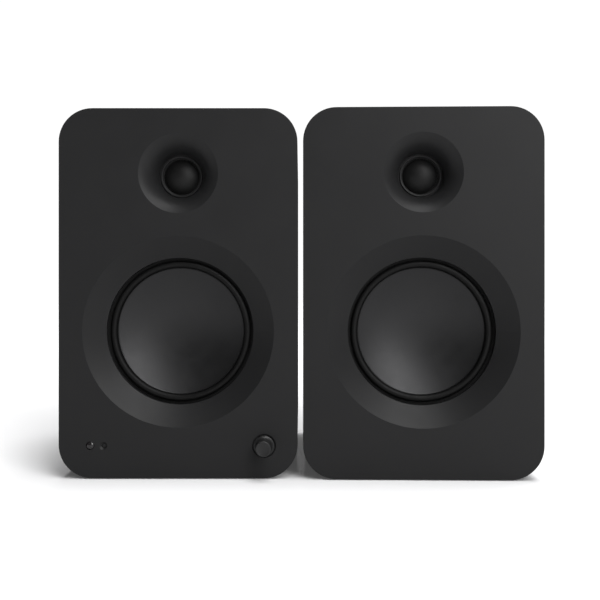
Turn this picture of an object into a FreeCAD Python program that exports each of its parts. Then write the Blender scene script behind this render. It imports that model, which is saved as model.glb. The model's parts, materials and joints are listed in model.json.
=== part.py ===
"""A pair of two-way desktop speakers: a powered one on the left and a passive one on the right.

Each cabinet is built in its own frame, in millimetres: X across, Y from the front face back into
the cabinet, Z up from the surface that it stands on. The two are then set side by side, the right
one a little forward and turned in, and the origin is put under the middle of the pair.
"""
import FreeCAD
import Part
import math
import os

from FreeCAD import Placement, Rotation, Vector

# ---- Driving dimensions -------------------------------------------------------------------------
WIDTH = 174.4            # one cabinet, across
HEIGHT = 270.3           # one cabinet, without its feet
DEPTH = 215.0            # front face to the sleeve's rear edge
CORNER = 24.5            # radius of the cabinet's four long edges
FOOT_HEIGHT = 0.6
WALL = 12.0              # sleeve and rear board
BAFFLE = 18.0            # front board
EDGE = 0.4               # chamfer on each board's outer edge
GLUE_GAP = 0.1           # round a board that sits inside the sleeve

PITCH = 178.4            # between the middles of the two front faces
RIGHT_FORWARD = 5.0      # how far the right front face stands ahead of the left one
TOE_IN = 1.35            # degrees that the right cabinet is turned in

WOOFER_Z = 107.6
TWEETER_Z = 223.4
PORT_Z = 211.0
CONTROL_Z = 24.4         # the line of the knob, the indicator and the receiver window
KNOB_X = 62.8
LED_X = -54.5
WINDOW_X = -64.2

# Woofer: radii, and depths behind the front face
DISH_MOUTH = 70.0
DISH_EDGE = 54.5
DISH_DEPTH = 10.7
FLANGE_RADIUS = 67.0
FLANGE_FRONT, FLANGE_BACK = 15.0, 17.5
WOOFER_SCREWS = 62.5
LANDING = 16.0           # where the surround is glued to the frame
CONE_RADIUS = 47.1
CONE_RIM = 16.2
CONE_DEPTH = 11.5
CONE_THICK = 0.7
COIL_RADIUS = 12.6       # inside of the voice coil's former
SPIDER_LEDGE = 38.0
TOP_PLATE = 46.0
MAGNET_THICK = 15.0
PLATE_STEEL = 5.0

# Tweeter
MOUTH_RADIUS = 29.2
THROAT_RADIUS = 16.4
FLARE_MOUTH, FLARE_THROAT = 24.0, 84.0       # slope of the flare at its two ends, in degrees
TWEETER_FLANGE = 34.8
TWEETER_BACK = BAFFLE + 3.0
TWEETER_SCREWS = 30.5
DOME_RADIUS = 12.7
DOME_HEIGHT = 4.8
DOME_BASE = 20.4
SURROUND_RADIUS = 14.3

# Knob and its encoder
KNOB_PROUD = 14.5
KNOB_FACE = 4.9          # hollow of the knob's face
KNOB_RADIUS = 5.6
KNOB_SKIRT = 7.5
KNOB_RECESS, KNOB_RECESS_DEPTH = 8.7, 2.2
ENCODER_FRONT = 7.0      # where the encoder's case meets the pocket behind the baffle
ENCODER_BACK = 24.4
SHAFT_RADIUS = 3.0
SHAFT_END = 20.0

# Rear
PORT_RADIUS = 17.0
PORT_LENGTH = 96.0
PORT_FLANGE = 34.0
PORT_SCREWS = 31.2
BOARD_FACE = DEPTH - 1.0             # outer face of the rear board
PLATE_THICK = 2.5
PLATE_FACE = BOARD_FACE + PLATE_THICK
PLATE_WIDTH, PLATE_HEIGHT, PLATE_Z = 122.0, 142.0, 89.0
RCA_REACH = 9.5                      # how far a phono socket stands out of the plate
SOCKET_BACK = 193.6                  # face of the amplifier board that carries the sockets
PHONO_PLACES = [(-42.0, 118.0), (-22.0, 118.0), (6.0, 118.0)]
AUX_PLACE = (30.0, 118.0)
HDMI_PLACE = (-34.0, 142.0)
OPTICAL_PLACE = (-6.0, 142.0)
USB_PLACE = (20.0, 142.0)
INLET_PLACE = (-30.0, 40.0)
SWITCH_PLACE = (16.0, 40.0)
SWITCH_SWING = 16.0                  # degrees between the rocker's two positions
SWITCH_PIVOT = PLATE_FACE - 2.0
TERMINAL_WIDTH, TERMINAL_HEIGHT, TERMINAL_Z = 84.0, 56.0, 76.0
CLIP_WIDTH, CLIP_HEIGHT = 56.0, 24.0
CLIP_Z = 82.0                        # the powered cabinet's pair of spring clips
LEVER_X = 13.0
LEVER_PIVOT_Y = PLATE_FACE - 1.0
LEVER_DROP = 2.5                     # the pivot, below the middle of the clip block
WIRE_HOLE, WIRE_DROP = 1.6, 7.4      # radius of a wire's hole, and how far below the middle it is

INNER_WIDTH = WIDTH - 2 * WALL
INNER_HEIGHT = HEIGHT - 2 * WALL
MIDDLE_Z = FOOT_HEIGHT + HEIGHT / 2


# ---- Shape helpers ------------------------------------------------------------------------------
def outline(start, *steps):
    """Closed wire of (radius, depth) points. A step is a point, or (middle, end) for an arc."""
    edges = []
    here = Vector(*start, 0)
    for step in [*steps, start]:
        is_arc = isinstance(step[0], tuple)
        end = Vector(*(step[1] if is_arc else step), 0)
        if is_arc:
            edges.append(Part.Arc(here, Vector(*step[0], 0), end).toShape())
        elif (end - here).Length > 1e-7:
            edges.append(Part.LineSegment(here, end).toShape())
        here = end
    return Part.Wire(edges)


def turned(start, *steps, x=0.0, z=0.0):
    """The outline turned into a round solid whose axis runs along Y through (x, z)."""
    shape = Part.Face(outline(start, *steps)).revolve(Vector(), Vector(0, 1, 0), 360)
    return shifted(shape, x, 0, z)


def shifted(shape, x=0.0, y=0.0, z=0.0):
    moved = shape.copy()
    moved.translate(Vector(x, y, z))
    return moved


def rod(radius, front, back, x=0.0, z=0.0):
    """A cylinder along Y from depth front to depth back."""
    return Part.makeCylinder(radius, back - front, Vector(x, front, z), Vector(0, 1, 0))


def tube(outer, inner, front, back, x=0.0, z=0.0):
    return rod(outer, front, back, x, z).cut(rod(inner, front - 1, back + 1, x, z))


def block(width, height, front, back, x=0.0, z=0.0):
    """A box centred on (x, z), from depth front to depth back."""
    return Part.makeBox(width, back - front, height, Vector(x - width / 2, front, z - height / 2))


def slab(width, height, corner, front, back, x=0.0, z=0.0):
    """A block whose four edges along Y are rounded."""
    box = block(width, height, front, back, x, z)
    return box.makeFillet(corner, [edge for edge in box.Edges if runs_along_y(edge)])


def runs_along_y(edge):
    a, b = (vertex.Point for vertex in edge.Vertexes)
    return abs(a.x - b.x) + abs(a.z - b.z) < 1e-6


def edges_at(shape, depth):
    """The edges that lie wholly at one depth."""
    boxes = [(edge, edge.BoundBox) for edge in shape.Edges]
    return [edge for edge, box in boxes if abs(box.YMin - depth) + abs(box.YMax - depth) < 1e-5]


def cut_all(shape, cutters):
    for cutter in cutters:
        shape = shape.cut(cutter)
    return shape


def fuse_all(shapes):
    whole = shapes[0]
    for shape in shapes[1:]:
        whole = whole.fuse(shape)
    return whole


def group(shapes):
    """Separate solids that share one node."""
    return Part.makeCompound([solid for shape in shapes for solid in shape.Solids])


def ring_of(count, radius, first, z):
    """(x, z) places evenly round a circle about (0, z), the first at that many degrees."""
    angles = [math.radians(first + 360.0 * k / count) for k in range(count)]
    return [(radius * math.cos(a), z + radius * math.sin(a)) for a in angles]


def woofer_screw_places():
    return ring_of(6, WOOFER_SCREWS, 30, WOOFER_Z)


def tweeter_screw_places():
    return ring_of(4, TWEETER_SCREWS, 45, TWEETER_Z)


def port_screw_places():
    return ring_of(3, PORT_SCREWS, 90, PORT_Z)


def border_places(width, height, z, middles):
    """(x, z) of the screws round a rear plate: its corners, and the middles of its sides if asked."""
    across, up = width / 2 - 5, height / 2 - 5
    places = [(sx * across, z + sz * up) for sx in (-1, 1) for sz in (-1, 1)]
    if middles:
        places += [(-across, z), (across, z), (0, z - up), (0, z + up)]
    return places


AMPLIFIER_SCREWS = border_places(PLATE_WIDTH, PLATE_HEIGHT, PLATE_Z, True)
TERMINAL_SCREWS = border_places(TERMINAL_WIDTH, TERMINAL_HEIGHT, TERMINAL_Z, False)


# ---- Cabinet ------------------------------------------------------------------------------------
def front_baffle(controls):
    """Front board: the woofer's dish, the tweeter's flare and the holes for the controls."""
    board = slab(WIDTH, HEIGHT, CORNER, 0, BAFFLE, z=MIDDLE_Z)
    board = board.makeFillet(0.5, edges_at(board, 0))
    board = board.makeChamfer(EDGE, edges_at(board, BAFFLE))
    slope = (DISH_MOUTH - DISH_EDGE) / DISH_DEPTH
    rebate = FLANGE_RADIUS + 0.3
    dish = turned((0, -1), (DISH_MOUTH + slope, -1), (DISH_EDGE, DISH_DEPTH), (DISH_EDGE, FLANGE_FRONT),
                  (rebate, FLANGE_FRONT), (rebate, BAFFLE + 1), (0, BAFFLE + 1), z=WOOFER_Z)
    places = woofer_screw_places() + tweeter_screw_places()
    pilots = [rod(1.3, BAFFLE - 9, BAFFLE + 1, x, z) for x, z in places]
    board = cut_all(board, [dish, tweeter_flare(), *pilots])
    if not controls:
        return board
    led_dish = turned((0, -1), (3.1, -1), (3.1, 0), (1.6, 1.1), (1.6, BAFFLE + 1), (0, BAFFLE + 1),
                      x=LED_X, z=CONTROL_Z)
    return cut_all(board, [rod(KNOB_RECESS, -1, KNOB_RECESS_DEPTH, KNOB_X, CONTROL_Z),
                           rod(3.6, 0, BAFFLE, KNOB_X, CONTROL_Z),
                           block(15.0, 15.0, ENCODER_FRONT, BAFFLE + 1, KNOB_X, CONTROL_Z),
                           rod(3.1, -1, BAFFLE + 1, WINDOW_X, CONTROL_Z), led_dish])


def tweeter_flare():
    """Trumpet-shaped cutter, one arc from the throat at the board's back to the mouth at its face."""
    across, deep = MOUTH_RADIUS - THROAT_RADIUS, BAFFLE
    chord = math.hypot(across, deep)
    bulge = chord / 2 * math.tan(math.radians(FLARE_THROAT - FLARE_MOUTH) / 4)
    middle = ((MOUTH_RADIUS + THROAT_RADIUS) / 2 - bulge * deep / chord, deep / 2 - bulge * across / chord)
    return turned((0, -1), (MOUTH_RADIUS, -1), (MOUTH_RADIUS, 0), (middle, (THROAT_RADIUS, BAFFLE)),
                  (THROAT_RADIUS, BAFFLE + 1), (0, BAFFLE + 1), z=TWEETER_Z)


def cabinet_sleeve():
    """The four walls in one wrap, open at the front and the back."""
    sleeve = slab(WIDTH, HEIGHT, CORNER, BAFFLE, DEPTH, z=MIDDLE_Z)
    sleeve = sleeve.makeChamfer(EDGE, edges_at(sleeve, BAFFLE) + edges_at(sleeve, DEPTH))
    return sleeve.cut(slab(INNER_WIDTH, INNER_HEIGHT, CORNER - WALL, BAFFLE - 1, DEPTH + 1, z=MIDDLE_Z))


def rear_board(opening, screw_holes):
    """Board let into the sleeve's back, with the port's hole and the opening for the rear plate."""
    board = slab(INNER_WIDTH - 2 * GLUE_GAP, INNER_HEIGHT - 2 * GLUE_GAP, CORNER - WALL - GLUE_GAP,
                 BOARD_FACE - WALL, BOARD_FACE, z=MIDDLE_Z)
    pilots = [rod(1.3, BOARD_FACE - 9, BOARD_FACE + 1, x, z) for x, z in screw_holes + port_screw_places()]
    return cut_all(board, [rod(30.0, 0, DEPTH + 1, z=PORT_Z), opening, *pilots])


def bass_port():
    """Flared tube: a screwed flange with a trumpet mouth outside, and a rolled inner end."""
    face = BOARD_FACE + 1.6
    end = face - PORT_LENGTH
    outer = PORT_RADIUS + 2.2
    flare, lip = 11.0, 4.0
    flare_bend, lip_bend = (r * (1 - math.sqrt(0.5)) for r in (flare, lip))
    port = turned((PORT_RADIUS, end + lip), (PORT_RADIUS, face - flare),
                  ((PORT_RADIUS + flare_bend, face - flare_bend), (PORT_RADIUS + flare, face)),
                  (PORT_FLANGE - 0.6, face), (PORT_FLANGE, face - 0.6), (PORT_FLANGE, BOARD_FACE),
                  (29.6, BOARD_FACE), (29.6, BOARD_FACE - 1.4),
                  ((outer + flare_bend + 1.2, BOARD_FACE - 4.2), (outer, face - flare - 2)),
                  (outer, end + lip + 1.5),
                  ((outer + lip_bend, end + lip_bend + 1.5), (outer + lip - 0.6, end + 1.5)),
                  (outer + lip - 0.6, end), (PORT_RADIUS + lip, end),
                  ((PORT_RADIUS + lip_bend, end + lip_bend), (PORT_RADIUS, end + lip)), z=PORT_Z)
    return cut_all(port, [rod(1.4, BOARD_FACE - 1, face + 1, x, z) for x, z in port_screw_places()])


def damping_pads():
    """Wadding against the two side walls and the top."""
    thick, front, back = 8.0, 62.0, 196.0
    reach = INNER_WIDTH / 2 - 0.4
    sides = [block(thick, 190.0, front, back, s * (reach - thick / 2), MIDDLE_Z) for s in (-1, 1)]
    top_z = MIDDLE_Z + INNER_HEIGHT / 2 - 0.4 - thick / 2
    return group([*sides, block(112.0, thick, front, back, z=top_z)])


def feet():
    """Four thin rubber discs glued under the sleeve."""
    places = [(x, y) for x in (-52.0, 52.0) for y in (32.0, 186.0)]
    discs = [Part.makeCylinder(8.0, FOOT_HEIGHT, Vector(x, y, 0)) for x, y in places]
    lower_edge = [edge for edge in discs[0].Edges if edge.BoundBox.ZMax < 0.01]
    first = discs[0].makeChamfer(0.3, lower_edge)
    return group([shifted(first, x - places[0][0], y - places[0][1]) for x, y in places])


# ---- Tweeter ------------------------------------------------------------------------------------
def tweeter_frame():
    """Plate behind the baffle, whose raised ring is seen at the bottom of the flare."""
    ring = BAFFLE + 0.5
    frame = turned((SURROUND_RADIUS - 0.1, DOME_BASE), (SURROUND_RADIUS - 0.1, ring + 0.5),
                   ((14.4, ring + 0.12), (14.95, ring)), ((15.5, ring + 0.12), (15.7, ring + 0.5)),
                   (15.7, ring + 1.0), (THROAT_RADIUS, ring + 1.0), (THROAT_RADIUS, BAFFLE),
                   (TWEETER_FLANGE, BAFFLE), (TWEETER_FLANGE, TWEETER_BACK),
                   (15.4, TWEETER_BACK), (15.4, DOME_BASE), z=TWEETER_Z)
    return cut_all(frame, [rod(1.6, 0, 30, x, z) for x, z in tweeter_screw_places()])


def tweeter_dome():
    """Soft dome on its voice-coil former."""
    thick = 0.35
    sphere = (DOME_RADIUS ** 2 + DOME_HEIGHT ** 2) / (2 * DOME_HEIGHT)
    apex = DOME_BASE - DOME_HEIGHT
    centre = apex + sphere
    half = math.asin(DOME_RADIUS / sphere) / 2
    inner = sphere - thick
    inner_half = math.asin((DOME_RADIUS - thick) / inner) / 2
    outside = (sphere * math.sin(half), centre - sphere * math.cos(half))
    inside = (inner * math.sin(inner_half), centre - inner * math.cos(inner_half))
    bore = DOME_RADIUS - thick
    return turned((0, apex), (outside, (DOME_RADIUS, DOME_BASE)), (DOME_RADIUS, DOME_BASE + 6),
                  (bore, DOME_BASE + 6), (bore, centre - inner * math.cos(2 * inner_half)),
                  (inside, (0, apex + thick)), z=TWEETER_Z)


def tweeter_surround():
    """Soft roll between the dome's edge and the frame."""
    thick, sag = 0.3, 0.65
    inner = DOME_RADIUS + 0.06
    middle = (inner + SURROUND_RADIUS) / 2
    back = DOME_BASE + thick
    return turned((inner, DOME_BASE), ((middle, DOME_BASE + sag), (SURROUND_RADIUS, DOME_BASE)),
                  (15.3, DOME_BASE), (15.3, back), (SURROUND_RADIUS, back),
                  ((middle, back + sag), (inner, back)), z=TWEETER_Z)


def tweeter_motor():
    """Steel cup, neodymium disc and pole plate."""
    lip = TWEETER_BACK + 1.4
    cup = turned((15.4, TWEETER_BACK), (20.0, TWEETER_BACK), (20.0, 33.5), (19.5, 34.0), (0, 34.0),
                 (0, 31.0), (13.15, 31.0), (13.15, lip), (15.4, lip), z=TWEETER_Z)
    return group([cup, rod(10.8, 26.4, 31.0, z=TWEETER_Z), rod(11.9, 23.4, 26.4, z=TWEETER_Z)])


# ---- Woofer -------------------------------------------------------------------------------------
def woofer_basket():
    """Cast frame: flange, six struts, a ledge for the spider and a seat on the top plate."""
    ledge_back, seat_front, window_back = SPIDER_LEDGE + 2, TOP_PLATE - 2, SPIDER_LEDGE - 0.5
    frame = turned((52.8, LANDING), (58.2, LANDING), (58.2, FLANGE_FRONT), (FLANGE_RADIUS, FLANGE_FRONT),
                   (FLANGE_RADIUS, FLANGE_BACK), (59.0, FLANGE_BACK), (57.5, 24.0), (42.5, ledge_back),
                   (35.0, ledge_back), (35.0, TOP_PLATE), (20.0, TOP_PLATE), (20.0, seat_front),
                   (33.0, seat_front), (33.0, SPIDER_LEDGE), (41.2, SPIDER_LEDGE), (55.3, 23.5),
                   (55.8, 20.0), (52.8, 19.0), z=WOOFER_Z)
    windows = turned((44.0, 24.8), (70.0, 22.5), (70.0, window_back), (44.0, window_back), z=WOOFER_Z)
    for k in range(6):
        strut = block(11.0, 90.0, 0, 60, z=45.0)
        strut.rotate(Vector(), Vector(0, 1, 0), 60.0 * k + 30)
        windows = windows.cut(shifted(strut, z=WOOFER_Z))
    holes = [rod(2.1, 0, 30, x, z) for x, z in woofer_screw_places()]
    return cut_all(frame, [windows, *holes])


def woofer_surround():
    """Rubber half-roll between the frame's landing and the cone's edge."""
    thick, crest, half, height = 0.7, 49.8, 2.4, 2.7
    top = LANDING - thick
    inner = CONE_RADIUS + 0.06
    return turned((57.9, LANDING), (57.9, top), (crest + half, top),
                  ((crest, top - height), (crest - half, top + 0.3)), (inner, top + 0.6),
                  (inner, LANDING + 1.6), (crest - half + thick, LANDING + 1.0),
                  ((crest, LANDING - height), (crest + half - thick, LANDING)), z=WOOFER_Z)


def woofer_cone():
    """Concave metal dish with a turned-back rim and no dust cap."""
    sphere = (CONE_RADIUS ** 2 + CONE_DEPTH ** 2) / (2 * CONE_DEPTH)
    half = math.asin(CONE_RADIUS / sphere) / 2
    centre = CONE_RIM + CONE_DEPTH - sphere
    back = sphere + CONE_THICK
    rim = CONE_RADIUS - 0.8
    back_half = math.asin(rim / back) / 2
    on_front = (sphere * math.sin(half), centre + sphere * math.cos(half))
    on_back = (back * math.sin(back_half), centre + back * math.cos(back_half))
    return turned((0, CONE_RIM + CONE_DEPTH), (on_front, (CONE_RADIUS - 0.35, CONE_RIM)),
                  ((CONE_RADIUS - 0.1, CONE_RIM + 0.09), (CONE_RADIUS, CONE_RIM + 0.3)),
                  (CONE_RADIUS, CONE_RIM + 2.4), (rim, CONE_RIM + 2.4),
                  (rim, centre + back * math.cos(2 * back_half)), (on_back, (0, centre + back)), z=WOOFER_Z)


def voice_coil():
    """Former glued to the back of the cone, and the winding near its far end."""
    back = (CONE_RADIUS ** 2 + CONE_DEPTH ** 2) / (2 * CONE_DEPTH) + CONE_THICK
    start = CONE_RIM + CONE_DEPTH + CONE_THICK - back + math.sqrt(back ** 2 - COIL_RADIUS ** 2)
    outer = COIL_RADIUS + 0.3
    winding = outer + 0.45
    return turned((COIL_RADIUS, start), (outer, start), (outer, 43.5), (winding, 43.5), (winding, 53.5),
                  (outer, 53.5), (outer, 55.0), (COIL_RADIUS, 55.0), z=WOOFER_Z)


def woofer_spider():
    """Corrugated cloth disc that centres the voice coil."""
    thick, waves, pitch, height = 0.5, 3, 6.0, 1.3
    inner, first, rim = COIL_RADIUS + 0.36, COIL_RADIUS + 1.7, 40.6
    front, back = SPIDER_LEDGE - thick, SPIDER_LEDGE
    places = [(first + k * pitch, 1 if k % 2 else -1) for k in range(waves)]
    out = [((r + pitch / 2, front + s * height), (r + pitch, front)) for r, s in places]
    home = [((r + pitch / 2, back + s * height), (r, back)) for r, s in reversed(places)]
    return turned((inner, front), (first, front), *out, (rim, front), (rim, back),
                  (first + waves * pitch, back), *home, (inner, back), z=WOOFER_Z)


def woofer_magnet():
    """Ferrite ring."""
    front = TOP_PLATE + PLATE_STEEL
    return tube(40.0, 17.0, front, front + MAGNET_THICK, z=WOOFER_Z)


def pole_plates():
    """Steel top plate, and the back plate with its vented pole."""
    top = tube(37.0, COIL_RADIUS + 1.15, TOP_PLATE, TOP_PLATE + PLATE_STEEL, z=WOOFER_Z)
    seat = TOP_PLATE + PLATE_STEEL + MAGNET_THICK
    back = seat + PLATE_STEEL
    pole = COIL_RADIUS - 0.4
    yoke = turned((4.0, TOP_PLATE), (pole, TOP_PLATE), (pole, seat), (38.0, seat), (38.0, back - 1),
                  (37.0, back), (7.0, back), (4.0, back - 3), z=WOOFER_Z)
    return group([top, yoke])


# ---- Fasteners ----------------------------------------------------------------------------------
def screw(x, z, seat, length, head=3.0):
    """Pan-head screw: its head stands behind depth seat, and its shank runs forward from there."""
    shank = 1.25
    tip, top = seat - length, seat + 2.0
    body = turned((0, tip), (shank * 0.5, tip), (shank, tip + 1.2), (shank, seat), (head, seat),
                  (head, seat + 0.9), ((head - 0.5, seat + 1.65), (head - 1.5, top)), (0, top), x=x, z=z)
    cross = [block(3.0, 0.6, top - 1.1, top + 1, x, z), block(0.6, 3.0, top - 1.1, top + 1, x, z)]
    return cut_all(body, cross)


def screws(plate_places):
    """All the screws of one cabinet: woofer, tweeter, port and rear plate."""
    return group([screw(x, z, FLANGE_BACK, 7.0) for x, z in woofer_screw_places()]
                 + [screw(x, z, TWEETER_BACK, 9.0, 2.6) for x, z in tweeter_screw_places()]
                 + [screw(x, z, BOARD_FACE + 1.6, 9.0, 2.4) for x, z in port_screw_places()]
                 + [screw(x, z, PLATE_FACE, 10.0) for x, z in plate_places])


# ---- Controls on the powered cabinet's front --------------------------------------------------------
def volume_knob():
    """Slim knob whose side sweeps out to a skirt, with a slightly hollow face."""
    tip, rear, sweep = -KNOB_PROUD, 0.6, 1.7
    knob = turned((0, tip + 0.5), ((KNOB_FACE * 0.6, tip + 0.35), (KNOB_FACE, tip)),
                  ((KNOB_RADIUS - 0.2, tip + 0.2), (KNOB_RADIUS, tip + 0.7)), (KNOB_RADIUS, -4.3),
                  ((KNOB_RADIUS + 0.27 * sweep, -2.7), (KNOB_RADIUS + sweep, -1.6)),
                  ((KNOB_SKIRT - 0.04, -1.45), (KNOB_SKIRT, -1.2)), (KNOB_SKIRT, rear), (0, rear),
                  x=KNOB_X, z=CONTROL_Z)
    return knob.cut(rod(SHAFT_RADIUS, tip + 3.5, rear + 1, KNOB_X, CONTROL_Z))


def encoder_shaft():
    """Steel shaft, pressed into the knob."""
    return rod(SHAFT_RADIUS, 3.5 - KNOB_PROUD, SHAFT_END, KNOB_X, CONTROL_Z)


def encoder_plunger():
    """Button behind the shaft that clicks when the knob is pressed, but doesn't turn with it."""
    flange, nub, end = SHAFT_END + 1, SHAFT_END + 1.8, SHAFT_END + 2.6
    return turned((0, SHAFT_END), (2.4, SHAFT_END), (2.4, flange), (4.6, flange), (4.6, nub), (1.2, nub),
                  (1.2, end), (0, end), x=KNOB_X, z=CONTROL_Z)


def encoder_body():
    """Encoder case with a threaded bushing, open inside for the shaft's end and the plunger."""
    case = block(14.0, 14.0, ENCODER_FRONT, ENCODER_BACK, KNOB_X, CONTROL_Z)
    bushing = rod(3.5, KNOB_RECESS_DEPTH - 0.2, ENCODER_FRONT, KNOB_X, CONTROL_Z)
    return cut_all(case.fuse(bushing), [rod(5.2, 11.0, ENCODER_BACK - 1, KNOB_X, CONTROL_Z),
                                        rod(SHAFT_RADIUS + 0.07, 0, 12.0, KNOB_X, CONTROL_Z)])


def control_board():
    """Strip of circuit board that carries the encoder, the indicator's emitter and the receiver."""
    front, back = ENCODER_BACK, ENCODER_BACK + 1.6
    return group([block(140.0, 12.0, front, back, z=CONTROL_Z),
                  block(7.0, 8.0, BAFFLE + 1, front, WINDOW_X, CONTROL_Z),
                  block(4.0, 3.0, front - 1.4, front, LED_X, CONTROL_Z),
                  block(14.0, 7.0, back, back + 7.4, 10.0, CONTROL_Z)])


def status_led():
    """Light pipe from the indicator's dish back to the emitter."""
    return turned((0, 0.75), ((0.8, 0.85), (1.5, 1.15)), (1.5, 22.8), (0, 22.8), x=LED_X, z=CONTROL_Z)


def ir_window():
    """Domed dark lens in front of the remote control's receiver."""
    rear = BAFFLE + 0.6
    return turned((0, -0.35), ((1.6, -0.08), (3.0, 0.75)), (3.0, rear), (0, rear), x=WINDOW_X, z=CONTROL_Z)


# ---- Amplifier plate and what it carries ----------------------------------------------------------
def amplifier_opening():
    return slab(106.0, 126.0, 4.0, 0, DEPTH + 1, z=PLATE_Z)


def amplifier_plate():
    """Aluminium plate over the opening in the rear board, with a cut-out for each socket."""
    plate = slab(PLATE_WIDTH, PLATE_HEIGHT, 5.0, BOARD_FACE, PLATE_FACE, z=PLATE_Z)
    plate = plate.makeChamfer(0.5, edges_at(plate, PLATE_FACE))
    front, back = BOARD_FACE - 1, PLATE_FACE + 1
    sockets = [rod(5.6, front, back, x, z) for x, z in PHONO_PLACES]
    sockets += [rod(3.6, front, back, *AUX_PLACE), block(15.4, 6.2, front, back, *HDMI_PLACE),
                block(10.4, 10.4, front, back, *OPTICAL_PLACE),
                slab(9.6, 3.8, 1.8, front, back, *USB_PLACE), block(24.4, 14.4, front, back, *INLET_PLACE),
                block(19.4, 13.2, front, back, *SWITCH_PLACE),
                block(CLIP_WIDTH - 3.8, CLIP_HEIGHT - 3.8, front, back, 0, CLIP_Z)]
    return cut_all(plate, sockets + [rod(1.7, front, back, x, z) for x, z in AMPLIFIER_SCREWS])


def amplifier_board():
    """Main circuit board on four pillars, with its coils, capacitors and chips."""
    front = SOCKET_BACK - 1.6
    corners = [(x, z) for x in (-49.0, 49.0) for z in (64.0, 148.0)]
    pillars = [tube(3.0, 1.3, SOCKET_BACK, BOARD_FACE, x, z) for x, z in corners]
    coils = [tube(8.0, 3.0, front - 9, front, x, 72.0) for x in (-40.0, -20.0, 20.0, 40.0)]
    capacitors = [rod(5.0, front - 16, front, x, 90.0) for x in (-44.0, -32.0, 32.0, 44.0)]
    chip_places = [(-34.0, 136.0), (34.0, 136.0), (0.0, 112.0)]
    chips = [block(12.0, 12.0, front - 1.6, front, x, z) for x, z in chip_places]
    return group([block(104.0, 92.0, front, SOCKET_BACK, z=106.0), *pillars, *coils, *capacitors, *chips])


def heat_sink():
    """Finned aluminium block on the output chip."""
    back = SOCKET_BACK - 3.2
    fins = [block(1.6, 46.0, back - 17, back - 2, -21.2 + 5.3 * k, 112.0) for k in range(9)]
    return fuse_all([block(44.0, 46.0, back - 3, back, z=112.0), *fins])


def power_supply():
    """Supply board with its transformer and two large capacitors, and the bracket that holds it."""
    back = SOCKET_BACK - 5.0
    core = block(30.0, 26.0, back - 25, back - 1.6, 0.0, 40.0)
    winding = block(20.0, 31.0, back - 21, back - 4.5, 0.0, 40.0)
    capacitors = [rod(8.5, back - 28, back - 1.6, x, 40.0) for x in (-38.0, 38.0)]
    pillars = [tube(3.0, 1.3, back, BOARD_FACE, s * 49.0, z) for s in (-1, 1) for z in (30.0, 50.0)]
    return group([block(104.0, 34.0, back - 1.6, back, z=40.0), core.fuse(winding), *capacitors, *pillars])


def audio_sockets():
    """Three phono sockets and a 3.5 mm jack, on moulded feet that stand on the amplifier board."""
    def phono(x, z):
        tip, shoulder = PLATE_FACE + RCA_REACH, PLATE_FACE + 1
        barrel = turned((0, 204.0), (5.4, 204.0), (5.4, shoulder), (4.15, shoulder), (4.15, tip - 0.3),
                        (3.9, tip), (3.5, tip), (3.5, tip - 0.8), (1.65, tip - 0.8), (1.65, 207.0),
                        (0, 207.0), x=x, z=z)
        return barrel.fuse(block(11.0, 11.0, SOCKET_BACK, 204.0, x, z))

    def jack(x, z):
        tip = PLATE_FACE + 1.8
        barrel = turned((1.8, 200.0), (1.8, tip), (3.0, tip), (3.5, tip - 0.5), (3.5, 205.0),
                        (5.0, 205.0), (5.0, 200.0), x=x, z=z)
        return barrel.fuse(block(11.0, 11.0, SOCKET_BACK, 200.0, x, z))

    return group([phono(x, z) for x, z in PHONO_PLACES] + [jack(*AUX_PLACE)])


def data_sockets():
    """HDMI and USB-C sockets, flush with the plate."""
    hdmi = block(15.0, 5.8, SOCKET_BACK, PLATE_FACE - 0.2, *HDMI_PLACE)
    hdmi = hdmi.cut(block(14.0, 4.6, 205.0, PLATE_FACE, *HDMI_PLACE))
    hdmi = hdmi.fuse(block(11.0, 1.0, 204.0, PLATE_FACE - 1.5, *HDMI_PLACE))
    usb = slab(9.2, 3.4, 1.6, SOCKET_BACK, PLATE_FACE - 0.1, *USB_PLACE)
    usb = usb.cut(slab(8.4, 2.6, 1.25, 207.0, PLATE_FACE, *USB_PLACE))
    usb = usb.fuse(block(6.6, 0.7, 206.0, PLATE_FACE - 0.9, *USB_PLACE))
    return group([hdmi, usb])


def signal_sockets():
    """All the plated sockets in one node."""
    return group([audio_sockets(), data_sockets()])


def optical_socket():
    """Plastic body with a square mouth, closed by its shutter."""
    body = block(10.0, 10.0, SOCKET_BACK, PLATE_FACE + 0.6, *OPTICAL_PLACE)
    body = body.cut(slab(7.4, 7.4, 1.2, PLATE_FACE - 1.5, PLATE_FACE + 1, *OPTICAL_PLACE))
    return body.fuse(slab(6.8, 6.8, 0.9, PLATE_FACE - 2.0, PLATE_FACE - 0.6, *OPTICAL_PLACE))


def mains_inlet():
    """Two-pole mains inlet: a flanged shell with a figure-eight well, and its two pins."""
    x, z = INLET_PLACE
    lobe, offset = 4.6, 4.3
    shell = slab(30.0, 20.0, 3.0, PLATE_FACE, PLATE_FACE + 2.0, x, z)
    shell = shell.makeFillet(0.8, edges_at(shell, PLATE_FACE + 2.0))
    shell = shell.fuse(block(24.0, 14.0, PLATE_FACE - 18, PLATE_FACE, x, z))
    front, back = PLATE_FACE - 12, PLATE_FACE + 3
    lobes = [rod(lobe, front, back, x + s * offset, z) for s in (-1, 1)]
    well = fuse_all([*lobes, block(2 * offset, 1.84 * lobe, front, back, x, z)])
    pins = [rod(1.2, PLATE_FACE - 20, PLATE_FACE - 2, x + s * offset, z) for s in (-1, 1)]
    shell = cut_all(shell, [well, *pins])
    return group([shell, *[pin.makeFillet(0.6, edges_at(pin, PLATE_FACE - 2)) for pin in pins]])


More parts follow.
